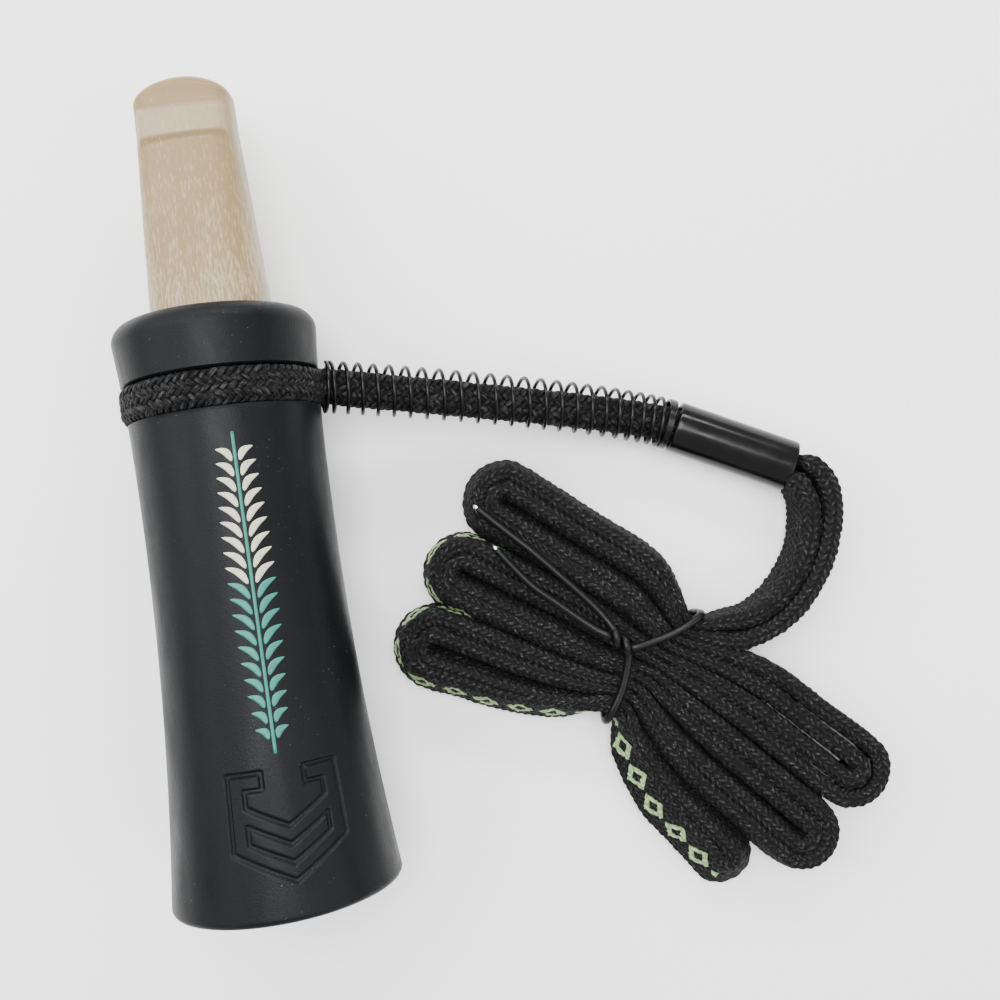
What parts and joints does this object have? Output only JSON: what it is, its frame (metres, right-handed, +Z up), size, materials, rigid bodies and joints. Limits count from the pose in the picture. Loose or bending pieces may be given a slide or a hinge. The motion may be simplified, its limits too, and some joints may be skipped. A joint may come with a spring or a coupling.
{
  "type": "mouth call",
  "caption": "Game call: flared black rubber barrel with a push-in tapered mouthpiece, reed unit inside, and a spring-guarded cord loop to a ferrule and a folded webbing neck lanyard.",
  "frame": {"origin": "on the surface that the call lies on, straight below the middle of the call's length", "axes": "+Y along the call from the bell to the mouthpiece (the axis dips 1.29 degrees towards the mouthpiece, because the call rests on both barrel ends), +X towards the lanyard, +Z up"},
  "size_m": [0.1089, 0.1332, 0.0332],
  "materials": {
    "barrel_rubber": "satin moulded rubber",
    "mouthpiece_plastic": "glossy, with pale pearl streaks",
    "tone_board_plastic": "moulded",
    "reed_film": "polyester film",
    "wedge_cork": "cork",
    "seal_rubber": "smooth",
    "cord_braid": "flat braid",
    "spring_wire": "black coated wire",
    "ferrule_plastic": "gloss",
    "crimp_metal": "satin",
    "webbing_weave": "woven tape",
    "tie_coating": "coated wire"
  },
  "bodies": {
    "lanyard": {"loop_cord": "cord_braid", "loop_spring": "spring_wire", "webbing_lead_outer": "webbing_weave", "webbing_lead_inner": "webbing_weave", "webbing_hank": "webbing_weave", "wire_tie": "tie_coating"},
    "barrel": {"barrel": "barrel_rubber"},
    "seals": {"front_seal_ring": "seal_rubber", "rear_seal_ring": "seal_rubber"},
    "mouthpiece_unit": {"mouthpiece": "mouthpiece_plastic", "tone_board": "tone_board_plastic", "reed_wedge": "wedge_cork"},
    "reed_tongue": {"reed": "reed_film"},
    "ferrule_unit": {"ferrule": "ferrule_plastic", "splice_crimp": "crimp_metal"}
  },
  "joints": [
    {"name": "barrel_turn", "type": "hinge", "parent": "lanyard", "child": "barrel", "pos_m": [0, 0.0124, 0.01498], "axis": [0, 0.9997, -0.0226], "continuous": true},
    {"name": "mouthpiece_pull", "type": "slide", "parent": "barrel", "child": "seals", "axis": [0, 0.9997, -0.0226], "range_m": [0, 0.032]},
    {"name": "mouthpiece_turn", "type": "hinge", "parent": "seals", "child": "mouthpiece_unit", "pos_m": [0, 0.0124, 0.01498], "axis": [0, 0.9997, -0.0226], "continuous": true},
    {"name": "reed_flex", "type": "hinge", "parent": "mouthpiece_unit", "child": "reed_tongue", "pos_m": [0, 0.008, 0.01508], "axis": [1, 0, 0], "range_deg": [-1.2, 1.2], "stiffness_Nm_per_rad": 0.01, "deforming": ["reed"]},
    {"name": "loop_open", "type": "slide", "parent": "lanyard", "child": "ferrule_unit", "axis": [-0.9574, 0.2319, 0.1719], "range_m": [0, 0.012], "stiffness_N_per_m": 120, "deforming": ["loop_spring", "loop_cord", "webbing_lead_outer", "webbing_lead_inner"]}
  ]
}
